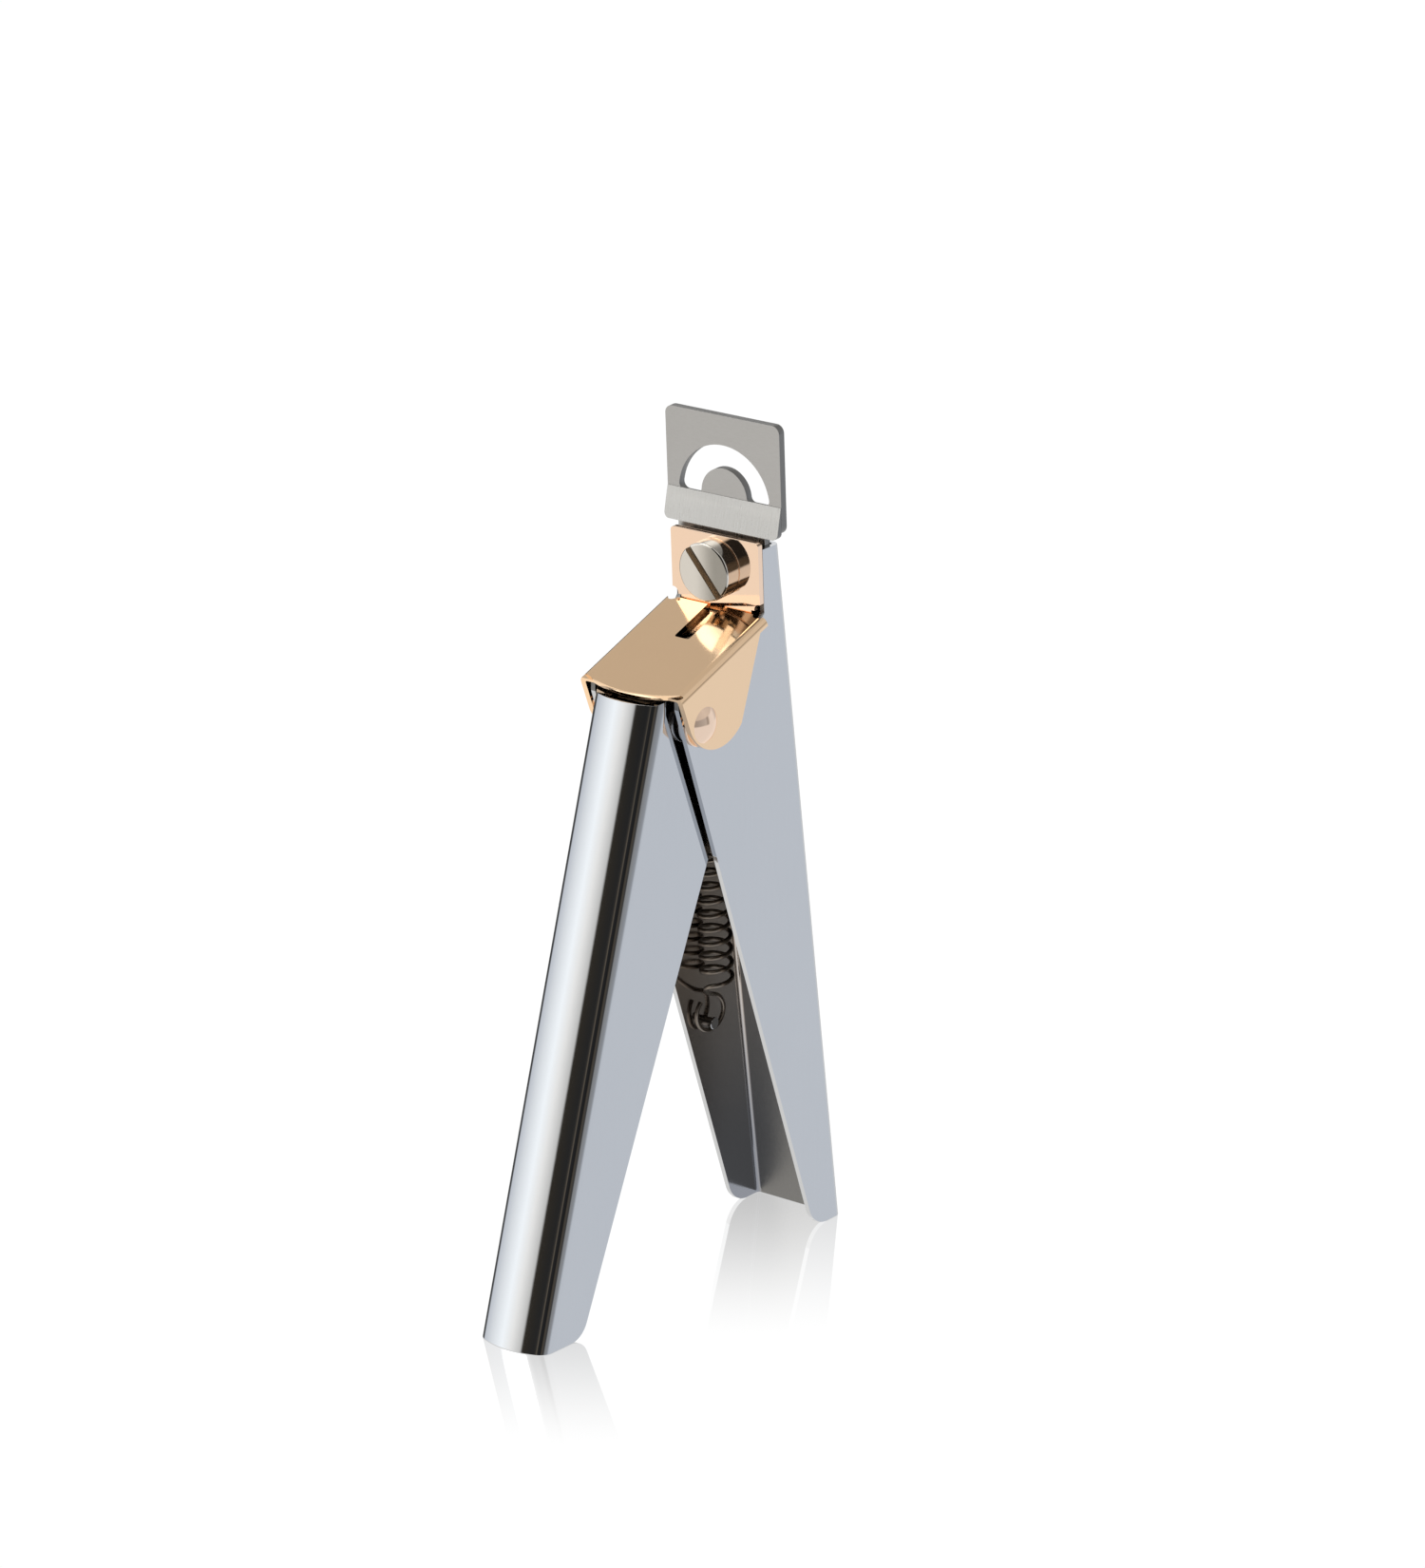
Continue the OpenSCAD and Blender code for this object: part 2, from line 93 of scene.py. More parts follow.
# ---------------------------------------------------------------- shared sizes, mm
SHEET_T = 0.8                                   # handle sheet
HOUSING_T = 0.9
CARRIER_T = 1.0
BLADE_T = 1.8
MOON_T = 1.3
MOON_Y = CARRIER_T + BLADE_T + 0.05             # half-moon plate behind the carrier's face
FRONT_HALF = 6.6
REAR_LEAN, FRONT_LEAN = rad(8.25), rad(16.65)
SHELF_TILT = rad(20)
SCREW_HEIGHT = 6.04                             # screw axis above the head's origin
PIVOT_BORE = 2.03
LEVER_BORE = 2.05
RIVET_X, RIVET_HEIGHTS = 5.3, (1.2, 7.2)        # stem rivets, on both sides
RIVET_SITES = [(x, height) for x in (-RIVET_X, RIVET_X) for height in RIVET_HEIGHTS]

# ---------------------------------------------------------------- local frames
axis = JOINTS["blade_lift"]["axis"]
PLATE_LEAN = math.atan2(-axis[1], axis[2])
up_plates = Vector((0, -math.sin(PLATE_LEAN), math.cos(PLATE_LEAN)))
screw_centre = Vector([1000 * v for v in JOINTS["clamp_screw_turn"]["pos_m"]])
ORIGIN = screw_centre - up_plates * SCREW_HEIGHT
TO_FRONT = Matrix.Rotation(math.pi / 2, 4, "X")                 # turns z to the front
HEAD = Matrix.Translation(ORIGIN) @ Matrix.Rotation(PLATE_LEAN, 4, "X")   # y rear, z up plates
PLATE = HEAD @ TO_FRONT                                         # x, height; z to the front
SHELF = Matrix.Translation(ORIGIN) @ Matrix.Rotation(SHELF_TILT, 4, "X")
SIDE = Matrix(((0, 0, 1, 0), (1, 0, 0, 0), (0, 1, 0, 0), (0, 0, 0, 1)))   # y, z drawn out along x
HEAD_SIDE = HEAD @ SIDE
REAR_FRAME = Matrix.Translation((0, REAR_Y, 0)) @ Matrix.Rotation(REAR_LEAN, 4, "X")
FRONT_FRAME = Matrix.Translation((0, FRONT_Y, 0)) @ Matrix.Rotation(-FRONT_LEAN, 4, "X")


def along_x(centre, x=0):
    """A frame at centre (y, z) whose z runs along world x."""
    return Matrix.Translation((x, *centre)) @ Matrix.Rotation(math.pi / 2, 4, "Y")


# ---------------------------------------------------------------- outlines
def arc(centre, radius, start, end, steps):
    """Points along an arc, angles in degrees."""
    angles = [rad(start + (end - start) * i / steps) for i in range(steps + 1)]
    return [(centre[0] + radius * math.cos(a), centre[1] + radius * math.sin(a)) for a in angles]


def circle(centre, radius, sides):
    return arc(centre, radius, 0, 360 - 360 / sides, sides - 1)


def rect(x0, y0, x1, y1):
    return [(x0, y0), (x1, y0), (x1, y1), (x0, y1)]


def tidy(points):
    """Drops repeated points and turns the outline anticlockwise."""
    out = []
    for p in points:
        if not out or math.hypot(p[0] - out[-1][0], p[1] - out[-1][1]) > 1e-4:
            out.append(p)
    if math.hypot(out[0][0] - out[-1][0], out[0][1] - out[-1][1]) < 1e-4:
        out.pop()
    area = sum(a[0] * b[1] - b[0] * a[1] for a, b in zip(out, out[1:] + out[:1]))
    return out if area > 0 else out[::-1]


def u_outline(half, radius, length, top, steps):
    return ([(-half, -length)] + arc((-half + radius, top - radius), radius, 180, 90, steps)
            + arc((half - radius, top - radius), radius, 90, 0, steps) + [(half, -length)])


def u_channel(half, radius, thickness, length, steps):
    """A folded sheet: out along the outer line, back along the inner one."""
    inner = u_outline(half - thickness, radius - thickness, length, -thickness, steps)
    return u_outline(half, radius, length, 0, steps) + inner[::-1]


def v_outline(half, radius, length, web_y, web_r, splay=1.6):
    """A bowed web with rounded corners and walls that splay by a few degrees."""
    turn = math.degrees(math.asin((half - radius) / (web_r - radius)))
    cx = half - radius
    cy = web_y + web_r - (web_r - radius) * math.cos(rad(turn))
    cos, sin = math.cos(rad(splay)), math.sin(rad(splay))
    end_x, end_y = cx + radius * cos + length * sin, cy - radius * sin + length * cos
    return ([(-end_x, end_y)] + arc((-cx, cy), radius, 180 + splay, 270 - turn, 26)
            + arc((0, web_y + web_r), web_r, -90 - turn, -90 + turn, 22)
            + arc((cx, cy), radius, -90 + turn, -splay, 26) + [(end_x, end_y)])


# ---------------------------------------------------------------- solids
def make(bm, name="tmp"):
    mesh = bpy.data.meshes.new(name)
    bm.to_mesh(mesh)
    bm.free()
    o = bpy.data.objects.new(name, mesh)
    scene.collection.objects.link(o)
    return o


def bridge(bm, ring, other):
    """Faces between two rings. Either may be a single point."""
    n = max(len(ring), len(other))
    for k in range(n):
        j = (k + 1) % n
        if len(ring) == 1:
            bm.faces.new((ring[0], other[k], other[j]))
        elif len(other) == 1:
            bm.faces.new((ring[k], ring[j], other[0]))
        else:
            bm.faces.new((ring[k], ring[j], other[j], other[k]))


def prism(points, matrix, z0, z1):
    """A closed solid: the outline drawn out from z0 to z1 of the matrix."""
    points = tidy(points)
    bm = bmesh.new()
    bottom = [bm.verts.new(matrix @ Vector((x, y, z0))) for x, y in points]
    top = [bm.verts.new(matrix @ Vector((x, y, z1))) for x, y in points]
    bm.faces.new(bottom[::-1])
    bm.faces.new(top)
    bridge(bm, bottom, top)
    bmesh.ops.recalc_face_normals(bm, faces=bm.faces)
    return make(bm)


def lathe(profile, matrix, steps=96, closed=False):
    """A solid turned about z of the matrix from (radius, height) points.
    The profile ends on the axis, or is a closed loop off it."""
    bm = bmesh.new()
    rings = []
    for radius, z in profile:
        count = 1 if radius < 1e-6 else steps
        radius = 0 if count == 1 else radius
        turns = [2 * math.pi * k / steps for k in range(count)]
        rings.append([bm.verts.new(matrix @ Vector((radius * math.cos(a), radius * math.sin(a), z)))
                      for a in turns])
    for ring, other in zip(rings, rings[1:] + rings[:1] if closed else rings[1:]):
        bridge(bm, ring, other)
    bmesh.ops.recalc_face_normals(bm, faces=bm.faces)
    return make(bm)


def apply_modifiers(o):
    graph = bpy.context.evaluated_depsgraph_get()
    mesh = bpy.data.meshes.new_from_object(o.evaluated_get(graph))
    o.modifiers.clear()
    old, o.data = o.data, mesh
    bpy.data.meshes.remove(old)


def boolean(o, other, operation):
    modifier = o.modifiers.new("cut", "BOOLEAN")
    modifier.operation = operation
    modifier.solver = "EXACT"
    modifier.object = other
    apply_modifiers(o)
    bpy.data.objects.remove(other, do_unlink=True)
    return o


def cut(o, points, matrix, z0, z1):
    return boolean(o, prism(points, matrix, z0, z1), "DIFFERENCE")


def drill(o, sites, radius, sides, matrix, z0, z1):
    for site in sites:
        cut(o, circle(site, radius, sides), matrix, z0, z1)


def bore(o, centre, radius, x0=-20, x1=20, steps=64):
    """A round hole along x at centre (y, z)."""
    length = x1 - x0
    profile = [(0, 0), (radius, 0), (radius, length), (0, length)]
    boolean(o, lathe(profile, along_x(centre, x0), steps), "DIFFERENCE")


def join(objects):
    """Several closed shells in one mesh."""
    bm = bmesh.new()
    for o in objects:
        bm.from_mesh(o.data)
        bpy.data.objects.remove(o, do_unlink=True)
    return make(bm)


def finish(o, name, body, node, material, bevel=0, segments=3, angle=30, extras=(), zone=None):
    """Cleans the mesh, rounds its edges and hands it over in metres on its body.
    zone(centre in mm, normal) picks a face's material: 0, or 1 up for the extras."""
    bm = bmesh.new()
    bm.from_mesh(o.data)
    bmesh.ops.remove_doubles(bm, verts=bm.verts, dist=2e-4)
    if bevel:
        bmesh.ops.dissolve_limit(bm, angle_limit=rad(0.1), verts=bm.verts, edges=bm.edges,
                                 use_dissolve_boundaries=False)
    bmesh.ops.recalc_face_normals(bm, faces=bm.faces)
    bmesh.ops.scale(bm, vec=(0.001,) * 3, verts=bm.verts)
    bm.to_mesh(o.data)
    bm.free()
    if bevel:
        edges = o.modifiers.new("edges", "BEVEL")
        edges.width = bevel / 1000
        edges.segments = segments
        edges.limit_method = "ANGLE"
        edges.angle_limit = rad(angle)
        edges.use_clamp_overlap = True
        edges.miter_outer = "MITER_ARC"
        apply_modifiers(o)
    o.data.materials.clear()
    for each in (material, *extras):
        o.data.materials.append(each)
    for face in o.data.polygons:
        face.use_smooth = True
        face.material_index = int(zone(1000 * face.center, face.normal)) if zone else 0
    o.data.set_sharp_from_angle(angle=rad(32))
    normals = o.modifiers.new("normals", "WEIGHTED_NORMAL")
    normals.keep_sharp = True
    normals.weight = 80
    o.name = name
    o.data.name = name
    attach(o, body)
    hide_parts(node)


# ---------------------------------------------------------------- shader tools
def add_node(tree, kind, inputs=None, **settings):
    """A shader node with its settings. Inputs take a value or a socket to link from."""
    node = tree.nodes.new("ShaderNode" + kind)
    for key, value in settings.items():
        setattr(node, key, value)
    for key, value in (inputs or {}).items():
        if isinstance(value, bpy.types.NodeSocket):
            tree.links.new(value, node.inputs[key])
        else:
            node.inputs[key].default_value = value
    return node


def calc(tree, operation, *values, clamp=False):
    node = add_node(tree, "Math", dict(enumerate(values)), operation=operation, use_clamp=clamp)
    return node.outputs[0]


def map_range(tree, value, source, target=(0.0, 1.0), **settings):
    inputs = {"From Min": source[0], "From Max": source[1],
              "To Min": target[0], "To Max": target[1], "Value": value}
    return add_node(tree, "MapRange", inputs, **settings).outputs[0]


def mix_colour(tree, factor, first, second, **settings):
    inputs = {0: factor, 6: first, 7: second}
    return add_node(tree, "Mix", inputs, data_type="RGBA", **settings).outputs[2]


# ---------------------------------------------------------------- metals
def metal(name, dark, light, roughness, stretch=(1, 1, 1), bump=0.02, grain=2.0, anisotropy=0.0,
          tint=None):
    """Metal whose colour and roughness drift, with a fine grain stretched per millimetre.
    tint = (axis, span in mm, colour factor at its start, factor at its end), a painted light and
    shade gradient along that axis."""
    material = bpy.data.materials.new(name)
    material.use_nodes = True
    tree = material.node_tree
    bsdf = next(n for n in tree.nodes if n.type == "BSDF_PRINCIPLED")
    place = add_node(tree, "TexCoord").outputs["Object"]
    mapping = add_node(tree, "Mapping", {"Scale": [1000 * s for s in stretch], "Vector": place})
    fine = add_node(tree, "TexNoise", {"Scale": grain, "Detail": 4.0, "Roughness": 0.6,
                                       "Vector": mapping.outputs[0]}).outputs[0]
    wide = add_node(tree, "TexNoise", {"Scale": 90, "Detail": 3, "Vector": place}).outputs[0]
    # 55 % fine grain and 45 % wide drift
    drift_node = add_node(tree, "Math", {0: fine, 1: 0.55}, operation="MULTIPLY_ADD",
                          use_clamp=True)
    drift = drift_node.outputs[0]
    tree.links.new(calc(tree, "MULTIPLY", wide, 0.45), drift_node.inputs[2])
    colour = mix_colour(tree, drift, (*dark, 1), (*light, 1))
    # painted light and shade: the colour scaled from one end of the span to the other
    if tint:
        axis, span, start, end = tint
        split = add_node(tree, "SeparateXYZ", {0: place})
        along = map_range(tree, split.outputs[axis], [v / 1000 for v in span],
                          interpolation_type="SMOOTHSTEP")
        factor = mix_colour(tree, along, (*start, 1), (*end, 1))
        colour = mix_colour(tree, 1, colour, factor, blend_type="MULTIPLY")
    tree.links.new(colour, bsdf.inputs["Base Color"])
    tree.links.new(map_range(tree, drift, (0.3, 0.7), roughness), bsdf.inputs["Roughness"])
    bsdf.inputs["Metallic"].default_value = 1.0
    bsdf.inputs["Anisotropic"].default_value = anisotropy
    relief = add_node(tree, "Bump", {"Strength": bump, "Distance": 0.0001, "Height": fine})
    tree.links.new(relief.outputs[0], bsdf.inputs["Normal"])
    return material


CHROME = metal("chrome_plate", dark=(0.545, 0.560, 0.585), light=(0.575, 0.588, 0.610),
               roughness=(0.035, 0.075), stretch=(1, 1, 0.05), bump=0.004, grain=3.0)
GILT = metal("gilt_shelf", dark=(0.90, 0.640, 0.415), light=(0.93, 0.665, 0.430),
             roughness=(0.07, 0.12), stretch=(1, 0.25, 1), bump=0.012, grain=2.5)
GILT_BRIGHT = metal("gilt_carrier", dark=(0.91, 0.675, 0.505), light=(0.94, 0.70, 0.535),
                    roughness=(0.03, 0.06), bump=0.006, grain=1.5)
# inner faces of the channels: the chrome painted darker as shade, with painted light and shade by
# height, darker and cooler low down, lighter and warmer near the top
CHANNEL_INSIDE_PAINTED_SHADE = metal("chrome_inside_painted_shade", dark=(0.375, 0.372, 0.375), light=(0.41, 0.405, 0.405),
               roughness=(0.08, 0.16), stretch=(1, 1, 0.05), bump=0.004, grain=3.0,
               tint=(2, (6, 48), (0.80, 0.82, 0.87), (1.60, 1.48, 1.35)))
STEEL = metal("satin_plate", dark=(0.385, 0.379, 0.372), light=(0.515, 0.507, 0.498),
              roughness=(0.32, 0.44), stretch=(0.35, 1, 1.2), bump=0.20, grain=3.2, anisotropy=0.3)
GROUND = metal("ground_bevel", dark=(0.33, 0.326, 0.318), light=(0.62, 0.611, 0.595),
               roughness=(0.24, 0.40), stretch=(2.0, 1, 0.10), bump=0.30, grain=2.0, anisotropy=0.4)
# darkest metal: the real sheared sides of the blade and plates, and painted shade on the channels'
# cut edge by the pivot and their inner tops
SHEARED_EDGE_AND_SHADE = metal("sheared_edge_and_painted_shade", dark=(0.16, 0.158, 0.155), light=(0.24, 0.237, 0.232),
                roughness=(0.30, 0.45), stretch=(1, 2.0, 0.3), bump=0.2, grain=3.0)
SCREW = metal("screw_nickel", dark=(0.72, 0.68, 0.62), light=(0.78, 0.74, 0.68),
              roughness=(0.09, 0.15), grain=1.2)
# top face of the screw head with painted light and shade: lighter at -x, darker at +x
SCREW_FACE_PAINTED_LIGHT = metal("screw_face_painted_light", dark=(0.70, 0.665, 0.61), light=(0.76, 0.72, 0.665),
                   roughness=(0.10, 0.16), grain=1.2,
                   tint=(0, (-2.0, 2.6), (0.96, 0.96, 0.96), (0.46, 0.46, 0.45)))
# faces of the slot: the screw's metal painted darker as shade in the recess
SCREW_SLOT_PAINTED_SHADE = metal("screw_slot_painted_shade", dark=(0.55, 0.47, 0.37), light=(0.62, 0.53, 0.43),
                   roughness=(0.28, 0.4), bump=0.05)
PLAIN = metal("turned_steel", dark=(0.42, 0.42, 0.43), light=(0.50, 0.50, 0.51),
              roughness=(0.22, 0.34), stretch=(0.1, 1, 1), bump=0.08, grain=4.0)
WIRE = metal("black_wire", dark=(0.17, 0.145, 0.12), light=(0.26, 0.225, 0.19),
             roughness=(0.24, 0.36), bump=0.05, grain=3.0)
# spring post: a dark colour painted in as the dark reflection on its side
POST_PAINTED_DARK = metal("post_painted_dark_reflection", dark=(0.20, 0.18, 0.16), light=(0.30, 0.27, 0.24),
                   roughness=(0.25, 0.38), bump=0.05, grain=3.0)


def inside(matrix, half, side):
    """Tells the faces that look into a folded channel open to the front (-1) or rear (1), which get
    painted shade: darker chrome inside, the darkest metal near the top and on the cut edge by the
    pivot.
    """
    back = matrix.inverted()
    turn = back.to_3x3()

    def zone(c, n):
        c, n = back @ c, turn @ n
        in_wall = half - SHEET_T < abs(c.x) < half - 0.08
        if side < 0 and c.z > 66 and n.y < -0.6 and in_wall:        # cut edge of the wall by the pivot, given the darkest metal as painted shade
            return 2
        faces_in = side * n.y > 0.3 or n.x * c.x < -0.3 * abs(c.x)
        # faces looking into the channel get painted shade, the darkest near the top
        if abs(c.x) < half - SHEET_T + 0.12 and faces_in:
            return 2 if c.z > 92 else 1
        return 0

    return zone


def plate_sides(c, n):
    """Tells the sheared sides of a flat plate in the head."""
    return abs(n.dot(HEAD.to_3x3() @ Vector((0, 1, 0)))) < 0.6


# ---------------------------------------------------------------- rear channel
FOOT_R = 5.0
RIVET_BORE = 0.63
# Side view, y and z: round foot, front edge, the step up behind the pivot, top
rear_side = ([(45, 0)] + arc((33.8, FOOT_R), FOOT_R, -90, -159.92, 28)
             + [(-4.95, PIVOT[1] + 3.24), (-4.95, PIVOT[1] + 5.13), (16.0, PIVOT[1] + 12.75),
                (16.62, PIVOT[1] + 13.55), (16.08, REAR_TOP.z), (45, REAR_TOP.z)])
rear = prism(u_channel(REAR_HALF, 1.4, SHEET_T, length=50, steps=20), REAR_FRAME, -12, 128)
boolean(rear, prism(rear_side, SIDE, -20, 20), "INTERSECT")
bore(rear, PIVOT, PIVOT_BORE)
bore(rear, POST, 0.83, -12, -4, steps=40)
cut(rear, rect(-3.4, 1.6, 3.4, 21), PLATE, -11, -3)                 # window in the web
drill(rear, RIVET_SITES, RIVET_BORE, 36, PLATE, -15, -3)
finish(rear, "rear_channel", "handle_frame", "rear_handle", CHROME, bevel=0.13,
       extras=(CHANNEL_INSIDE_PAINTED_SHADE, SHEARED_EDGE_AND_SHADE), zone=inside(REAR_FRAME, REAR_HALF, -1))

# ---------------------------------------------------------------- front channel
TOE_R = 4
WEB_R = 14                                      # bow of the web
FOLD_R = 2.4
WRAP = 82.45                                    # degrees the edge turns each way round the pin
pin_angle = math.degrees(math.atan2(DRIVE_PIN[1] - PIVOT[1], DRIVE_PIN[0] - PIVOT[0]))
# Side view, y and z: round toe, rear edge, round the drive pin and the pivot
front_side = ([(-45, 0)] + arc((-29.7, TOE_R), TOE_R, -90, -24.26, 24) + [(10.1, 82.6)]
              + arc(DRIVE_PIN, 3.6, pin_angle - WRAP, pin_angle + WRAP, 30)
              + arc(PIVOT, 6, pin_angle + WRAP, 112, 8) + [(-7.0, 97.2), (-45, 97.2)])
front_fold = (v_outline(FRONT_HALF, FOLD_R, 36, 0, WEB_R)
              + v_outline(FRONT_HALF - SHEET_T, FOLD_R - SHEET_T, 36, SHEET_T, WEB_R - SHEET_T)[::-1])
front = prism(front_fold, FRONT_FRAME, -14, 126)
boolean(front, prism(front_side, SIDE, -20, 20), "INTERSECT")
bore(front, PIVOT, LEVER_BORE)
bore(front, DRIVE_PIN, 1.52)
finish(front, "front_channel", "squeeze_lever", "front_handle", CHROME, bevel=0.13,
       extras=(CHANNEL_INSIDE_PAINTED_SHADE, SHEARED_EDGE_AND_SHADE), zone=inside(FRONT_FRAME, FRONT_HALF + 0.9, 1))

# ---------------------------------------------------------------- gilt housing
BOW_R = 22.5                                    # bowed front of the shelf
BOW_FRONT = -24.2
BOW_HALF = 12
SLOT_HALF, SLOT_R, SLOT_END = 1.4, 0.4, -9.0    # slot in the shelf, along its y
SIDE_HOLE_X, SIDE_HOLE_R = 8.35, 0.95           # a hole on each side, half shelf, half carrier
fold = prism(u_channel(HOUSING_HALF, 1.3, HOUSING_T, length=30, steps=12),
             SHELF @ Matrix.Translation((0, -0.36, 0)) @ TO_FRONT, 0, 27)
bow_angle = math.degrees(math.asin(BOW_HALF / BOW_R))
bow = arc((0, BOW_FRONT + BOW_R), BOW_R, -90 - bow_angle, -90 + bow_angle, 60)
keep = prism(bow + [(BOW_HALF, 2), (-BOW_HALF, 2)], SHELF, -1.6, 0.9)
# Side view of the cheeks, y and z, round below the pivot
cheek = ([(-5.95, PIVOT[1] + 5.31)] + arc((3.3, PIVOT[1] + 3.2), 7.8, 208, 318, 44)
         + [(13.9, PIVOT[1] + 11.7), (13.9, PIVOT[1] + 12.53)])
boolean(keep, prism(cheek, SIDE, -20, 20), "UNION")
housing = boolean(fold, keep, "INTERSECT")
lip_half = REAR_HALF - SHEET_T - 0.25
boolean(housing, prism(rect(-lip_half, -3.9, lip_half, -0.6), PLATE, 0.25, 1.15), "UNION")
slot = (arc((-SLOT_HALF + SLOT_R, SLOT_END), SLOT_R, 180, 270, 3)
        + arc((SLOT_HALF - SLOT_R, SLOT_END), SLOT_R, -90, 0, 3)
        + [(SLOT_HALF, 1.6), (-SLOT_HALF, 1.6)])
cut(housing, slot, SHELF, -3, 3)
cut(housing, rect(-SLOT_HALF, -6, SLOT_HALF, 2), PLATE, -2, 2)
drill(housing, [(s * SIDE_HOLE_X, -0.2) for s in (-1, 1)], SIDE_HOLE_R, 48, SHELF, -3, 3)
bore(housing, PIVOT, PIVOT_BORE)
finish(housing, "gilt_guide", "handle_frame", "guide_housing", GILT, bevel=0.14)

# ---------------------------------------------------------------- blade carrier
PIN = HEAD.inverted() @ Vector((0, *DRIVE_PIN))                     # drive pin in the head
LOW, HIGH = 0.35, 11.3                          # wide part, heights
NECK = 6.8                                      # half widths of the neck and the tongue
TONGUE = 3.2
CORNER, TONGUE_CORNER = 0.6, 0.4
EAR_R, EAR_T = 3.2, 1.0
PIN_SLOT_R = 1.6
corner_x = CARRIER_HALF - CORNER
tongue_x, tongue_y = TONGUE - TONGUE_CORNER, PIN.z - EAR_R + TONGUE_CORNER
# Front view, x and height, from the foot of the tongue round by +x
carrier_face = (arc((-tongue_x, tongue_y), TONGUE_CORNER, 180, 270, 5)
                + arc((tongue_x, tongue_y), TONGUE_CORNER, -90, 0, 5)
                + [(TONGUE, -9), (NECK, -9), (NECK, LOW)]
                + arc((corner_x, LOW + CORNER), CORNER, -90, 0, 8)
                + arc((corner_x, HIGH - CORNER), CORNER, 0, 90, 8)
                + arc((-corner_x, HIGH - CORNER), CORNER, 90, 180, 8)
                + arc((-corner_x, LOW + CORNER), CORNER, 180, 270, 8)
                + [(-NECK, LOW), (-NECK, -9), (-TONGUE, -9)])
carrier = prism(carrier_face, PLATE, -CARRIER_T, 0)
ear_outline = ([(0, PIN.z - EAR_R), (PIN.y + 1.6, PIN.z - EAR_R)]
               + arc((PIN.y + 0.687, PIN.z), EAR_R, -60, 60, 16)
               + [(PIN.y + 1.6, PIN.z + EAR_R), (0, PIN.z + EAR_R)])
for x in (-TONGUE, TONGUE - EAR_T):
    boolean(carrier, prism(ear_outline, HEAD_SIDE, x, x + EAR_T), "UNION")
pin_slot = (arc((PIN.y + 0.537, PIN.z), PIN_SLOT_R, -90, 90, 16)
            + arc((PIN.y - 0.05, PIN.z), PIN_SLOT_R, 90, 270, 16))
cut(carrier, pin_slot, HEAD_SIDE, -12, 12)
drill(carrier, [(s * SIDE_HOLE_X, 0.5) for s in (-1, 1)], SIDE_HOLE_R, 48, PLATE, -3, 3)
drill(carrier, [(0, SCREW_HEIGHT)], 2.08, 72, PLATE, -3, 3)
finish(carrier, "gilt_carrier_plate", "blade_slide", "blade_carrier", GILT_BRIGHT,
       bevel=0.14)

# ---------------------------------------------------------------- bevelled blade
EDGE_HEIGHT = 16.8                              # cutting edge
SHOULDER_R, SHOULDER_HEIGHT = 1.0, 12.8
# Front view, x and height: stem, step, rounded shoulders, straight edge
blade_face = ([(-7.0, 0.8), (7.0, 0.8), (7.0, 10.6), (8.4, 10.6), (8.4, 11.8)]
              + arc((PLATE_HALF - SHOULDER_R, SHOULDER_HEIGHT), SHOULDER_R, -90, 0, 10)
              + [(PLATE_HALF, EDGE_HEIGHT), (-PLATE_HALF, EDGE_HEIGHT)]
              + arc((-PLATE_HALF + SHOULDER_R, SHOULDER_HEIGHT), SHOULDER_R, 180, 270, 10)
              + [(-8.4, 11.8), (-8.4, 10.6), (-7.0, 10.6)])
blade = prism(blade_face, PLATE, -CARRIER_T - BLADE_T, -CARRIER_T)
edge_y = CARRIER_T + BLADE_T - 0.04             # leaves a thin flat at the edge
bevel_side = [(CARRIER_T - 1, 5.7), (CARRIER_T - 0.25, 8.66), (edge_y, EDGE_HEIGHT),
              (edge_y, EDGE_HEIGHT + 5), (CARRIER_T - 1, EDGE_HEIGHT + 5)]
cut(blade, bevel_side, HEAD_SIDE, -20, 20)
drill(blade, [(0, SCREW_HEIGHT)], 2.02, 72, PLATE, -6, 0)
cut(blade, rect(-9, 10.4, 9, 11.8), PLATE, -CARRIER_T - 0.9, -CARRIER_T + 0.5)
finish(blade, "cutting_blade", "blade_slide", "bevel_blade", GROUND, bevel=0.03,
       segments=1, angle=40, extras=(SHEARED_EDGE_AND_SHADE,), zone=plate_sides)

# ---------------------------------------------------------------- half-moon plate
MOON_TOP = 29.8
MOON_CORNER = 1.3
MOON_SHOULDER = 13.6                            # centre height of the lower corners
stem = REAR_HALF - SHEET_T - 0.06
corner_x = PLATE_HALF - MOON_CORNER
moon_face = ([(-stem, -2.4), (stem, -2.4), (stem, 12.3)]
             + arc((corner_x, MOON_SHOULDER), MOON_CORNER, -90, 0, 10)
             + arc((corner_x, MOON_TOP - MOON_CORNER), MOON_CORNER, 0, 90, 12)
             + arc((-corner_x, MOON_TOP - MOON_CORNER), MOON_CORNER, 90, 180, 12)
             + arc((-corner_x, MOON_SHOULDER), MOON_CORNER, 180, 270, 10) + [(-stem, 12.3)])
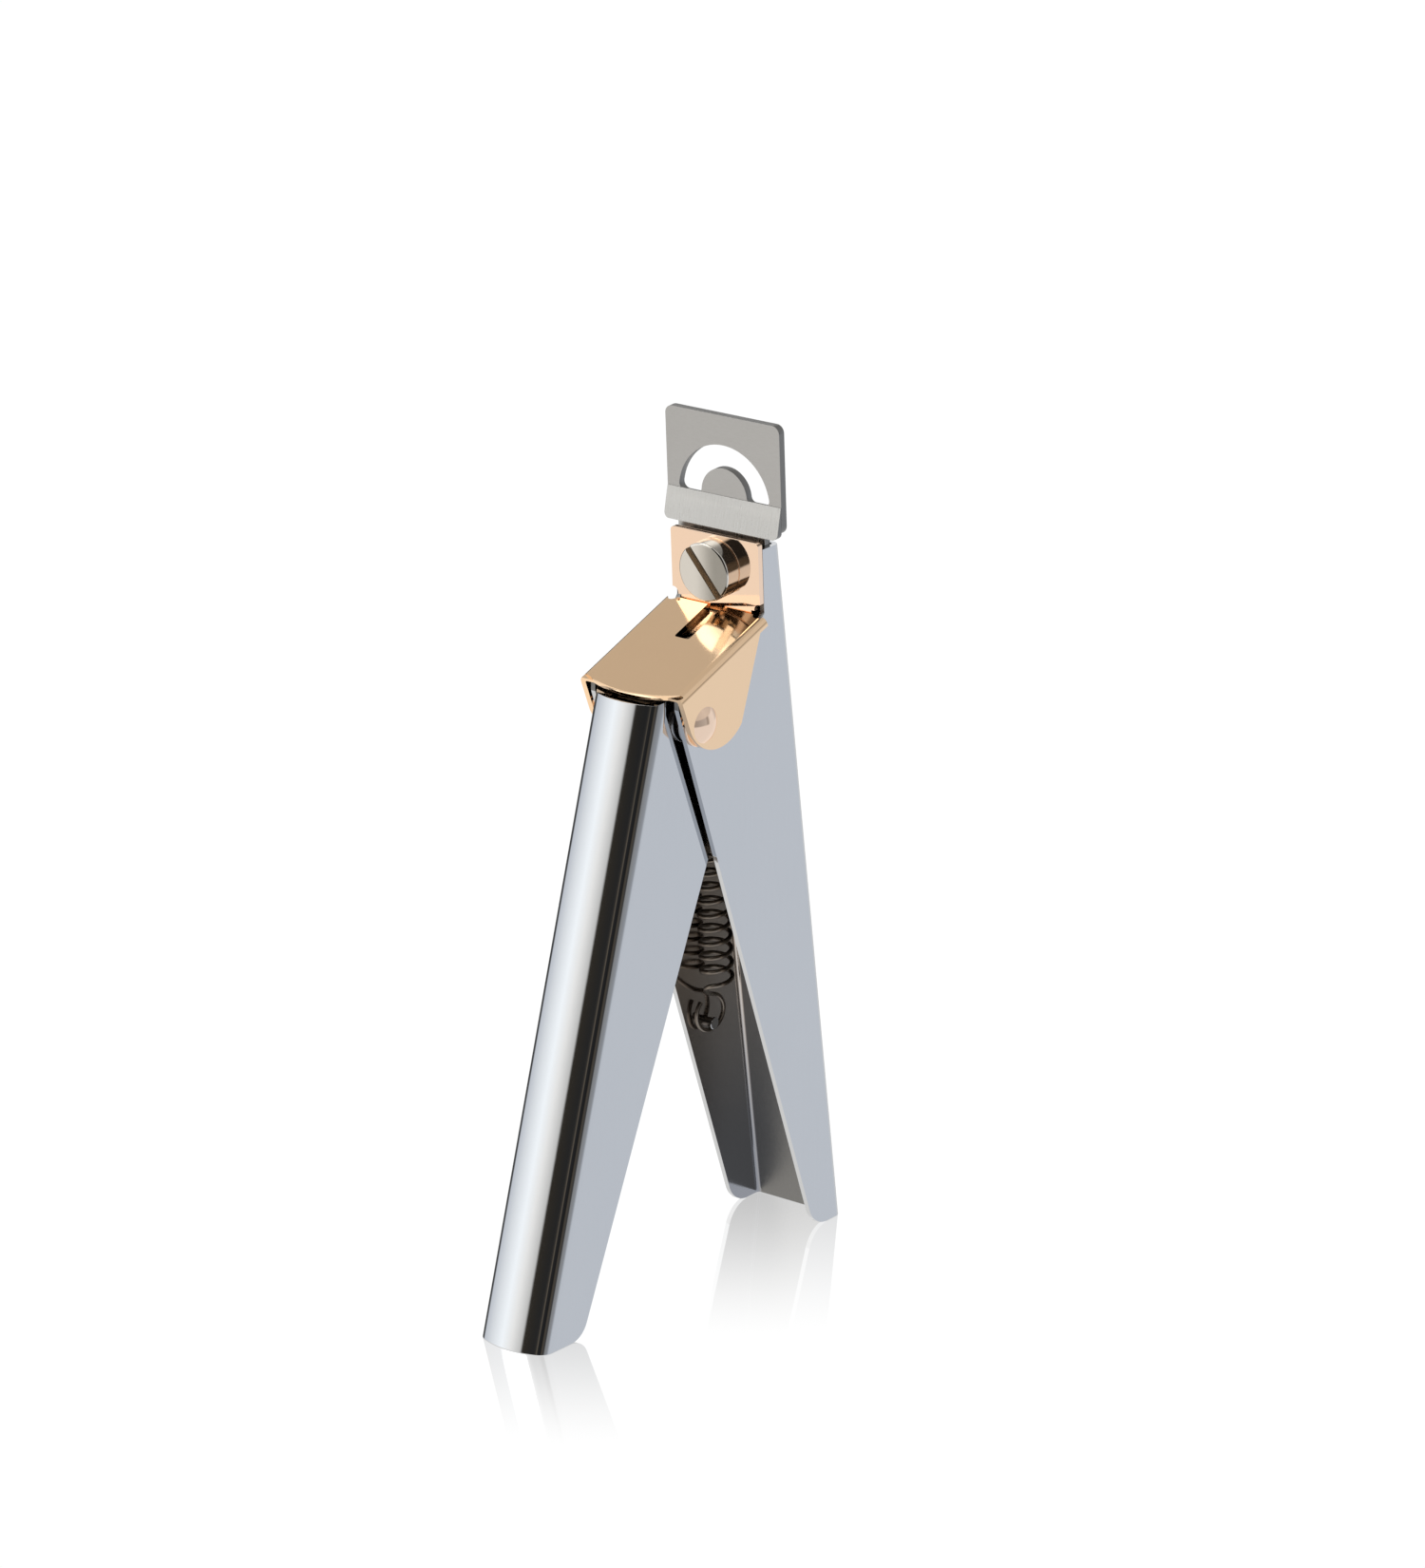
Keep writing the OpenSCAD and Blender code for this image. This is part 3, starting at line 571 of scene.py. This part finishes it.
# The opening: a large arc above, a smaller one inside it, rounded where they meet the base line
BASE = 16.4
OUTER_R, OUTER_HEIGHT, OUTER_FILLET = 8.8, 16.2, 1.1
INNER_R, INNER_HEIGHT, INNER_FILLET = 4.4, 16.85, 0.9
outer_y, inner_y = BASE + OUTER_FILLET, BASE + INNER_FILLET         # fillet centres
outer_x = math.sqrt((OUTER_R - OUTER_FILLET) ** 2 - (outer_y - OUTER_HEIGHT) ** 2)
inner_x = math.sqrt((INNER_R + INNER_FILLET) ** 2 - (inner_y - INNER_HEIGHT) ** 2)
outer_a = math.degrees(math.atan2(outer_y - OUTER_HEIGHT, outer_x))
inner_a = math.degrees(math.atan2(INNER_HEIGHT - inner_y, inner_x))
opening = (arc((outer_x, outer_y), OUTER_FILLET, -90, outer_a, 12)
           + arc((0, OUTER_HEIGHT), OUTER_R, outer_a, 180 - outer_a, 90)
           + arc((-outer_x, outer_y), OUTER_FILLET, 180 - outer_a, 270, 12)
           + arc((-inner_x, inner_y), INNER_FILLET, -90, inner_a, 10)
           + arc((0, INNER_HEIGHT), INNER_R, 180 + inner_a, -inner_a, 60)
           + arc((inner_x, inner_y), INNER_FILLET, 180 - inner_a, 270, 10))
moon = prism(moon_face, PLATE, -MOON_Y - MOON_T, -MOON_Y)
cut(moon, opening, PLATE, -MOON_Y - 3, -MOON_Y + 1)
drill(moon, RIVET_SITES, RIVET_BORE, 36, PLATE, -8, -2)
finish(moon, "half_moon", "handle_frame", "half_moon_plate", STEEL, bevel=0.12,
       extras=(SHEARED_EDGE_AND_SHADE,), zone=plate_sides)

# ---------------------------------------------------------------- shims behind the plate's stem
SHIM_X, SHIM_HALF = 5.2, 1.3
shims = []
for s in (-1, 1):
    shim = prism(rect(s * SHIM_X - SHIM_HALF, -1.6, s * SHIM_X + SHIM_HALF, 9.8), PLATE,
                 -MOON_Y - MOON_T - 4, -MOON_Y - MOON_T)
    # ends on the inner face of the rear web
    web_inside = prism(rect(-10, -SHEET_T - 10, 10, -SHEET_T), REAR_FRAME, 0, 140)
    boolean(shim, web_inside, "INTERSECT")
    drill(shim, [(s * RIVET_X, height) for height in RIVET_HEIGHTS], RIVET_BORE, 36, PLATE, -15, -3)
    shims.append(shim)
finish(join(shims), "stem_shims", "handle_frame", "plate_shims", STEEL, bevel=0.06,
       segments=1)


# ---------------------------------------------------------------- flush stem rivets
def web_back(height):
    """Distance along the head's y to the outer face of the rear web."""
    y = ORIGIN.y - height * math.sin(PLATE_LEAN)
    z = ORIGIN.z + height * math.cos(PLATE_LEAN)
    cos, sin = math.cos(REAR_LEAN), math.sin(REAR_LEAN)
    return (REAR_Y * cos - y * cos - z * sin) / math.cos(REAR_LEAN - PLATE_LEAN)


rivets = []
for x, height in RIVET_SITES:
    seat = (HEAD @ Matrix.Translation((x, MOON_Y + 0.1, height))
            @ Matrix.Rotation(-math.pi / 2, 4, "X"))
    length = web_back(height) - MOON_Y - 0.3
    profile = [(0, 0), (0.5, 0), (0.6, 0.1), (0.6, length - 0.1), (0.5, length), (0, length)]
    rivets.append(lathe(profile, seat, 40))
finish(join(rivets), "stem_rivets", "handle_frame", "plate_rivets", STEEL)

# ---------------------------------------------------------------- clamp screw
SCREW_H = 3.05                                  # head in front of the carrier
RIM_R = 0.35
SHANK_R = 2.0
CUT_HALF, CUT_DEPTH = 0.6, 1.1
SCREW_FRAME = HEAD @ Matrix.Translation((0, 0, SCREW_HEIGHT)) @ TO_FRONT
CUT_FRAME = SCREW_FRAME @ Matrix.Rotation(rad(-51), 4, "Z")
shank_end = -CARRIER_T - BLADE_T
profile = ([(0, shank_end + 0.1), (SHANK_R - 0.15, shank_end + 0.1), (SHANK_R, shank_end + 0.25),
            (SHANK_R, 0.02), (SCREW_R - 0.15, 0.02), (SCREW_R, 0.17)]
           + arc((SCREW_R - RIM_R, SCREW_H - RIM_R), RIM_R, 0, 90, 6) + [(0, SCREW_H)])
screw = lathe(profile, SCREW_FRAME, 120)
cut(screw, rect(-6, -CUT_HALF, 6, CUT_HALF), CUT_FRAME, SCREW_H - CUT_DEPTH, SCREW_H + 2)


def screw_zone(c, n):
    c = CUT_FRAME.inverted() @ c
    # slot faces get painted shade, the top face gets painted light and shade across x
    if abs(c.y) < CUT_HALF + 0.02 and SCREW_H - 1.2 < c.z < SCREW_H - 0.06:
        return 1
    return 2 if c.z > SCREW_H - 0.2 and math.hypot(c.x, c.y) < SCREW_R - 0.12 else 0


finish(screw, "clamp_screw_head", "screw", "clamp_screw", SCREW, bevel=0.07,
       segments=2, angle=42, extras=(SCREW_SLOT_PAINTED_SHADE, SCREW_FACE_PAINTED_LIGHT), zone=screw_zone)

# ---------------------------------------------------------------- pivot rivet, washers, pins
DOME_R, DOME_H = 4.6, 1.0
PIVOT_FRAME = along_x(PIVOT)
dome_depth = DOME_R - DOME_H                    # sphere centre inside the housing's face
head_r = math.sqrt(DOME_R ** 2 - dome_depth ** 2)
dome = arc((0, HOUSING_HALF - dome_depth), DOME_R,
           90 - math.degrees(math.asin(head_r / DOME_R)), 90, 12)
right = ([(2.0, HOUSING_HALF), (head_r - 0.02, HOUSING_HALF)] + dome[:-1]
         + [(0, HOUSING_HALF + DOME_H)])
left = [(r, -z) for r, z in right[::-1]]
finish(lathe(left + right, PIVOT_FRAME), "pivot_rivet_domed", "handle_frame", "pivot_rivet",
       GILT_BRIGHT)


def ring(x0, x1, outer, inner, chamfer=0.08):
    """A chamfered ring round the pivot from x0 to x1."""
    half = chamfer / 2
    return lathe([(inner, x0 + half), (inner + half, x0), (outer - chamfer, x0),
                  (outer, x0 + chamfer), (outer, x1 - chamfer), (outer - chamfer, x1),
                  (inner + half, x1), (inner, x1 - half)], PIVOT_FRAME, closed=True)


def washers(x0, x1, outer):
    return join([ring(x0, x1, outer, PIVOT_BORE), ring(-x1, -x0, outer, PIVOT_BORE)])


GAP = 0.02
wall = REAR_HALF - SHEET_T                      # inner face of the rear channel's wall
finish(washers(REAR_HALF + GAP, HOUSING_HALF - HOUSING_T - GAP, outer=3.6),
       "outer_pivot_washers", "handle_frame", "outer_washers", GILT_BRIGHT)
finish(washers(wall - 0.5 - GAP, wall - GAP, outer=3.4),
       "inner_pivot_washers", "handle_frame", "inner_washers", PLAIN)
finish(ring(-5.5, 5.5, 3.2, LEVER_BORE, chamfer=0.2), "pivot_spacer_tube", "squeeze_lever",
       "pivot_spacer", PLAIN)
profile = [(0, -PIN_HALF), (1.3, -PIN_HALF), (1.5, -PIN_HALF + 0.2), (1.5, PIN_HALF - 0.2),
           (1.3, PIN_HALF), (0, PIN_HALF)]
finish(lathe(profile, along_x(DRIVE_PIN), 64), "drive_pin_ground", "squeeze_lever", "drive_pin",
       PLAIN)

# ---------------------------------------------------------------- return spring
# Drawn with z from the post towards the drive pin
SPRING_X = -4.75
WIRE_R = 0.375
WIRE_SIDES = 12
COIL_R, TURNS, TURN_STEPS = 2.475, 17, 26
BEND_R = 1.0                                    # wire leaving the coil
HOOK_X, HOOK_R, HOOK_SKEW = -1.75, 3.0, rad(8)  # hook round the post
span_y, span_z = DRIVE_PIN[0] - POST[0], DRIVE_PIN[1] - POST[1]
span = math.hypot(span_y, span_z)
hook_z, eye_z = 1.77, span - 0.45               # centres of the end loops
coil_start, coil_end = 7.75, span - 7.9
coil_steps = TURN_STEPS * TURNS
bend_angle = math.degrees(math.asin(BEND_R / COIL_R))

path = [(HOOK_X + math.sin(HOOK_SKEW) * u, math.cos(HOOK_SKEW) * u, z)
        for u, z in arc((0, hook_z), HOOK_R, -230, 70, 30)]
coil = arc((0, 0), COIL_R, -90 + bend_angle, 360 * TURNS - 90 - bend_angle, coil_steps)
# a cubic curve from the hook into the coil
start, end = Vector(path[-1]), Vector((*coil[0], coil_start))
pull_start, pull_end = start + Vector((0, -2.2, 0.8)), end - Vector((2.0, 0.88, 0.33))
for u in [i / 12 for i in range(1, 12)]:
    path.append(tuple((1 - u) ** 3 * start + 3 * (1 - u) ** 2 * u * pull_start
                      + 3 * (1 - u) * u * u * pull_end + u ** 3 * end))
path += [(x, y, coil_start + (coil_end - coil_start) * i / coil_steps)
         for i, (x, y) in enumerate(coil)]
path += [(x, -math.sqrt(COIL_R * COIL_R - x * x), z)
         for x, z in arc((-BEND_R, coil_end + BEND_R), BEND_R, -90, 0, 8)[2:]]
leg_z = coil_end + BEND_R
path += [(0, -COIL_R, leg_z + (eye_z - leg_z) * i / 4) for i in range(1, 5)]
path += [(0, y, z) for y, z in arc((0, eye_z), COIL_R, 180, -120, 28)[1:]]

spring_frame = (Matrix.Translation((SPRING_X, *POST))
                @ Matrix.Rotation(-math.atan2(span_y, span_z), 4, "X"))
points = [spring_frame @ Vector(p) for p in path]
bm = bmesh.new()
rings, across = [], None
for i, p in enumerate(points):
    along = (points[min(i + 1, len(points) - 1)] - points[max(i - 1, 0)]).normalized()
    if across is None:
        across = along.orthogonal().normalized()
    across = (across - along * across.dot(along)).normalized()
    up = along.cross(across)
    turns = [2 * math.pi * k / WIRE_SIDES for k in range(WIRE_SIDES)]
    rings.append([bm.verts.new(p + WIRE_R * (math.cos(a) * across + math.sin(a) * up))
                  for a in turns])
for first, second in zip(rings, rings[1:]):
    bridge(bm, first, second)
bm.faces.new(rings[0][::-1])
bm.faces.new(rings[-1])
bmesh.ops.recalc_face_normals(bm, faces=bm.faces)
bmesh.ops.scale(bm, vec=(0.001,) * 3, verts=bm.verts)
spring = make(bm, "return_spring_wire")
for face in spring.data.polygons:
    face.use_smooth = True
spring.data.set_sharp_from_angle(angle=rad(50))
spring.data.materials.append(WIRE)
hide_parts("return_spring")
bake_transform(spring)

# ---------------------------------------------------------------- spring post, domed at -x
POST_DOME_R = 2.2
profile = [(0, -REAR_HALF - 0.6)]
profile += [(POST_DOME_R * math.sin(rad(a)), -REAR_HALF + 1.6 - POST_DOME_R * math.cos(rad(a)))
            for a in (9, 18, 27, 36, 43.34)]
profile += [(0.8, -REAR_HALF), (0.8, -6.0), (0.93, -6.0), (1.0, -5.93), (1.0, -5.67), (0.93, -5.6),
            (0, -5.6)]
# the post's body is painted dark as reflection, and its +x end face gets chrome to catch a highlight
finish(lathe(profile, along_x(POST), 64), "spring_post_headed", "handle_frame", "spring_post",
       POST_PAINTED_DARK, extras=(CHROME,), zone=lambda c, n: n.x > 0.5)

# ---------------------------------------------------------------- floor, metres
# White, with a reflection that fades towards the camera from the foot of each handle
CAM_AZIMUTH, CAM_ELEVATION = rad(37.572), rad(18.782)
sin_az, cos_az = math.sin(CAM_AZIMUTH), math.cos(CAM_AZIMUTH)
WHITE_LEVEL = 1.02                              # floor and backdrop
bm = bmesh.new()
for x, y in rect(-4, -4, 4, 4):
    bm.verts.new((x, y, -0.00006))
bm.faces.new(bm.verts)
floor = make(bm, "floor")
gloss = bpy.data.materials.new("gloss_floor")
gloss.use_nodes = True
tree = gloss.node_tree
tree.nodes.clear()
place = add_node(tree, "NewGeometry").outputs["Position"]
floor_x, floor_y = add_node(tree, "SeparateXYZ", {0: place}).outputs[:2]
toward = calc(tree, "ADD", calc(tree, "MULTIPLY", floor_x, sin_az),
              calc(tree, "MULTIPLY", floor_y, -cos_az))
across = calc(tree, "ADD", calc(tree, "MULTIPLY", floor_x, cos_az),
              calc(tree, "MULTIPLY", floor_y, sin_az))


def left_to_right(left, right):
    """A value that changes across the middle of the camera's view."""
    return map_range(tree, across, (-0.004, 0.004), (left, right))


fade_start = left_to_right(-FRONT_Y / 1000 * cos_az - 0.008, -REAR_Y / 1000 * cos_az)
fade_scale = left_to_right(1.25, 1.0)
distance = calc(tree, "MULTIPLY", calc(tree, "SUBTRACT", toward, fade_start), fade_scale)
fade = map_range(tree, distance, (-0.010, 0.062), (0.52, 0.0), interpolation_type="SMOOTHSTEP")
white = add_node(tree, "Emission", {"Color": (1, 1, 1, 1), "Strength": WHITE_LEVEL})
noise = add_node(tree, "TexNoise", {"Scale": 60, "Vector": place})
roughness = map_range(tree, noise.outputs[0], (0.0, 1.0), (0.02, 0.05))
mirror = add_node(tree, "BsdfGlossy", {"Color": (1, 1, 1, 1), "Roughness": roughness})
amount = calc(tree, "MULTIPLY", fade, left_to_right(1.0, 0.9))
mixed = add_node(tree, "MixShader", {0: amount, 1: white.outputs[0], 2: mirror.outputs[0]})
add_node(tree, "OutputMaterial", {0: mixed.outputs[0]})
floor.data.materials.append(gloss)
floor.visible_glossy = False
floor.visible_diffuse = False
floor.visible_shadow = False

# ---------------------------------------------------------------- studio
world = bpy.data.worlds.new("studio")
scene.world = world
world.use_nodes = True
tree = world.node_tree
tree.nodes.clear()
coords = add_node(tree, "TexCoord").outputs["Generated"]
ray_x, ray_y, ray_z = add_node(tree, "SeparateXYZ", {0: coords}).outputs[:3]
# azimuth in degrees: 0 in front, 90 at +x
azimuth = calc(tree, "ARCTAN2", ray_x, calc(tree, "MULTIPLY", ray_y, -1.0))
azimuth = calc(tree, "MULTIPLY_ADD", azimuth, 180 / math.pi, 0.0)
elevation = calc(tree, "MULTIPLY", calc(tree, "ARCSINE", ray_z), 180 / math.pi)

PLAIN_WHITE = (1, 1, 1)
COOL, WARM, AMBER = (0.93, 0.965, 1.02), (1.0, 0.975, 0.93), (1.2, 1, 0.75)
# Zones from the lowest up: stops of (azimuth, brightness, tint), white if no tint is given
GROUND_ZONE = [(-180, 0.95), (-60, 1.05, WARM), (-30, 1.05, WARM), (20, 0.95), (60, 0.88, COOL),
               (150, 0.90, COOL), (180, 0.95)]
LOW_ZONE = [(-180, 0.90), (-168, 0.90), (-160, 0.12), (-92, 0.08), (-86, 0.4), (-72, 0.95),
            (-60, 0.95, WARM), (-30, 0.95, WARM), (20, 0.95), (60, 0.88, COOL), (150, 0.90, COOL),
            (180, 0.90)]
BAND_ZONE = [(-180, 0.60), (-165, 0.12), (-142, 0.09), (-88, 0.09), (-84, 0.42, COOL),
             (-77, 0.92, COOL), (-62, 1.24, (0.97, 0.99, 1.0)), (-44, 1.58, (0.98, 1.0, 1.0)),
             (-30, 1.38, WARM), (-20, 1.05, WARM), (-15, 0.88, WARM), (-13, 0.04, AMBER),
             (4, 0.03), (7, 0.15, AMBER), (12, 0.12, AMBER), (15, 0.03), (36, 0.02),
             (44, 0.09, AMBER), (60, 0.07), (66, 0.36), (92, 0.46, COOL), (117, 0.56, COOL),
             (124, 0.34), (128, 0.42), (137, 0.88, COOL), (160, 0.92, COOL), (180, 0.60)]
UPPER_ZONE = [(-180, 0.60), (-122, 0.58, WARM), (-100, 0.85), (-55, 1.05), (-30, 1.1, WARM),
              (-20, 1.0, WARM), (-12, 0.02), (62, 0.02), (74, 0.60), (120, 0.70), (180, 0.60)]
HIGH_ZONE = [(-180, 0.60, WARM), (-60, 0.62, WARM), (0, 0.45), (60, 0.60), (180, 0.60, WARM)]


def ramp(stops):
    """Colours against the azimuth at half brightness. A ramp takes at most 32 stops."""
    turn = calc(tree, "DIVIDE", calc(tree, "SUBTRACT", azimuth, -180.0), 360.0, clamp=True)
    node = add_node(tree, "ValToRGB", {0: turn})
    elements = node.color_ramp.elements
    elements.remove(elements[-1])
    for i, (degrees, level, *tint) in enumerate(stops):
        position = (degrees + 180) / 360
        stop = elements[0] if i == 0 else elements.new(position)
        stop.position = position
        stop.color = (*[level * t / 2 for t in (tint[0] if tint else PLAIN_WHITE)], 1)
    return node.outputs[0]


def blend_up(below, above, lo, hi):
    """Passes from one zone to the next between two elevations."""
    step = map_range(tree, elevation, (lo, hi), interpolation_type="SMOOTHSTEP")
    return mix_colour(tree, step, below, above)


band, upper, low, ground, high = [
    ramp(zone) for zone in (BAND_ZONE, UPPER_ZONE, LOW_ZONE, GROUND_ZONE, HIGH_ZONE)]
sky = blend_up(ground, low, -34, -28)
sky = blend_up(sky, band, -14, -8)
sky = blend_up(sky, upper, 10, 14)
sky = blend_up(sky, high, 48, 56)


def near(angle, offset, operation, half):
    """1 where the angle lies within half a screen of its centre."""
    off_centre = calc(tree, "ABSOLUTE", calc(tree, operation, angle, offset))
    return calc(tree, "LESS_THAN", off_centre, half)


# an even white screen behind the object, seen in the floor
screen_az = near(azimuth, 142.4, "ADD", half=13.0)
screen_el = near(elevation, 18.8, "SUBTRACT", half=9.5)
sky = mix_colour(tree, calc(tree, "MULTIPLY", screen_az, screen_el), sky, (0.51, 0.51, 0.51, 1))
camera_ray = add_node(tree, "LightPath").outputs["Is Camera Ray"]
backdrop = add_node(tree, "Background", {"Color": (1, 1, 1, 1), "Strength": WHITE_LEVEL})
lighting = add_node(tree, "Background", {"Color": sky, "Strength": 2.0})
mixed = add_node(tree, "MixShader",
                 {0: camera_ray, 1: lighting.outputs[0], 2: backdrop.outputs[0]})
add_node(tree, "OutputWorld", {0: mixed.outputs[0]})

light = bpy.data.lights.new("softbox", "AREA")
light.shape = "RECTANGLE"
light.size = 0.5
light.size_y = 0.35
light.energy = 1.2
light.color = (1.0, 0.98, 0.95)
softbox = bpy.data.objects.new("softbox", light)
scene.collection.objects.link(softbox)
softbox.location = (-0.35, -0.35, 0.75)
aim = Vector((0, 0, 0.1)) - Vector(softbox.location)
softbox.rotation_euler = aim.to_track_quat("-Z", "Y").to_euler()

# ---------------------------------------------------------------- camera
lens = bpy.data.cameras.new("camera")
lens.lens = 148.26
lens.sensor_width = 36.0
lens.sensor_fit = "AUTO"
lens.clip_start = 0.05
lens.clip_end = 20
camera = bpy.data.objects.new("camera", lens)
scene.collection.objects.link(camera)
sin_el, cos_el = math.sin(CAM_ELEVATION), math.cos(CAM_ELEVATION)
# columns: right, up, back, place
camera.matrix_world = Matrix(((cos_az, -sin_az * sin_el, sin_az * cos_el, 0.581031),
                              (sin_az, cos_az * sin_el, -cos_az * cos_el, -0.740678),
                              (0, cos_el, sin_el, 0.401779),
                              (0, 0, 0, 1)))
scene.camera = camera
scene.view_settings.view_transform = "Standard"
scene.view_settings.look = "None"
